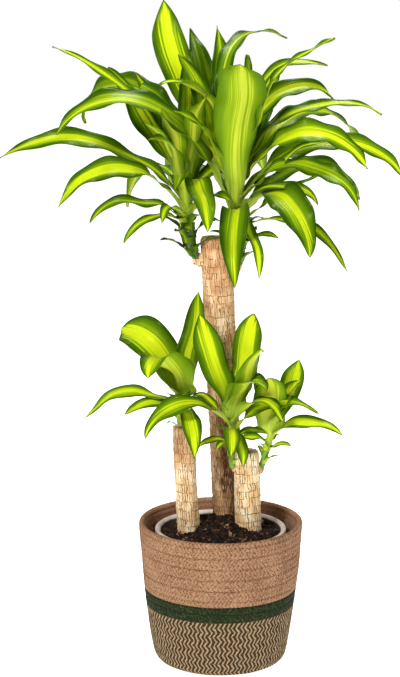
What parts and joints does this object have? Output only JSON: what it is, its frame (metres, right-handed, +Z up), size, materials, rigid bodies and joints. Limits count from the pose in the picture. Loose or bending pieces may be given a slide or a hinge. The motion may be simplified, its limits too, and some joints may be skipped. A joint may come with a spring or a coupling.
{
  "type": "potted corn plant",
  "caption": "Potted corn plant: bark canes topped with tufts of broad arching striped leaves, in a nursery pot inside a round woven basket.",
  "frame": {"origin": "centre of the basket's flat underside, on the surface that the plant stands on", "axes": "+Z up along the canes, +X to the viewer's right, +Y away from the viewer"},
  "size_m": [0.6323, 0.35, 1.0374],
  "materials": {
    "woven_straw": "matt plaited straw",
    "liner_film": "thin clear film",
    "pot_plastic": "satin",
    "potting_mix": "loose bark and peat",
    "bark": "ringed bark",
    "green_stem": "satin",
    "leaf": "glossy, with a yellow-green middle stripe"
  },
  "bodies": {
    "root": {"basket": "woven_straw", "basket_liner": "liner_film", "nursery_pot": "pot_plastic", "soil": "potting_mix", "cane_tall": "bark", "cane_left": "bark", "cane_right": "bark", "shoot_top_left": "green_stem", "shoot_top_right": "green_stem", "shoot_left": "green_stem", "shoot_middle": "green_stem", "shoot_right": "green_stem", "leaf_front_upright": "leaf", "leaf_front_hanging": "leaf", "leaf_front_right": "leaf", "leaf_tall_back": "leaf", "leaf_long_left": "leaf", "leaf_right_bright": "leaf", "leaf_back_left": "leaf", "leaf_back_far": "leaf", "leaf_back_long": "leaf", "leaf_fold_left": "leaf", "leaf_inner_right": "leaf", "leaf_arch_high": "leaf", "leaf_upward_right": "leaf", "leaf_crest_right": "leaf", "leaf_back_right": "leaf", "leaf_thin_right": "leaf", "leaf_far_right": "leaf", "leaf_longest_right": "leaf", "leaf_low_right_front": "leaf", "leaf_low_right_back": "leaf", "leaf_short_right": "leaf", "leaf_droop_right": "leaf", "leaf_back_arch": "leaf", "leaf_upward_left": "leaf", "leaf_longest_left": "leaf", "leaf_mid_left": "leaf", "leaf_back_hanging": "leaf", "leaf_low_left": "leaf", "leaf_left_front": "leaf", "leaf_left_inner": "leaf", "leaf_lower_broad": "leaf", "leaf_lower_folded": "leaf", "leaf_lower_upright": "leaf", "leaf_lower_twisted": "leaf", "leaf_lower_short": "leaf", "leaf_lower_hanging": "leaf", "leaf_lower_back": "leaf", "leaf_lower_right": "leaf", "leaf_middle_tall": "leaf", "leaf_middle_back": "leaf", "leaf_middle_front": "leaf", "leaf_middle_left": "leaf", "leaf_middle_fold": "leaf", "leaf_middle_long": "leaf", "leaf_middle_hanging": "leaf", "leaf_right_upright": "leaf", "leaf_right_inner": "leaf", "leaf_right_arch": "leaf"}
  },
  "joints": []
}
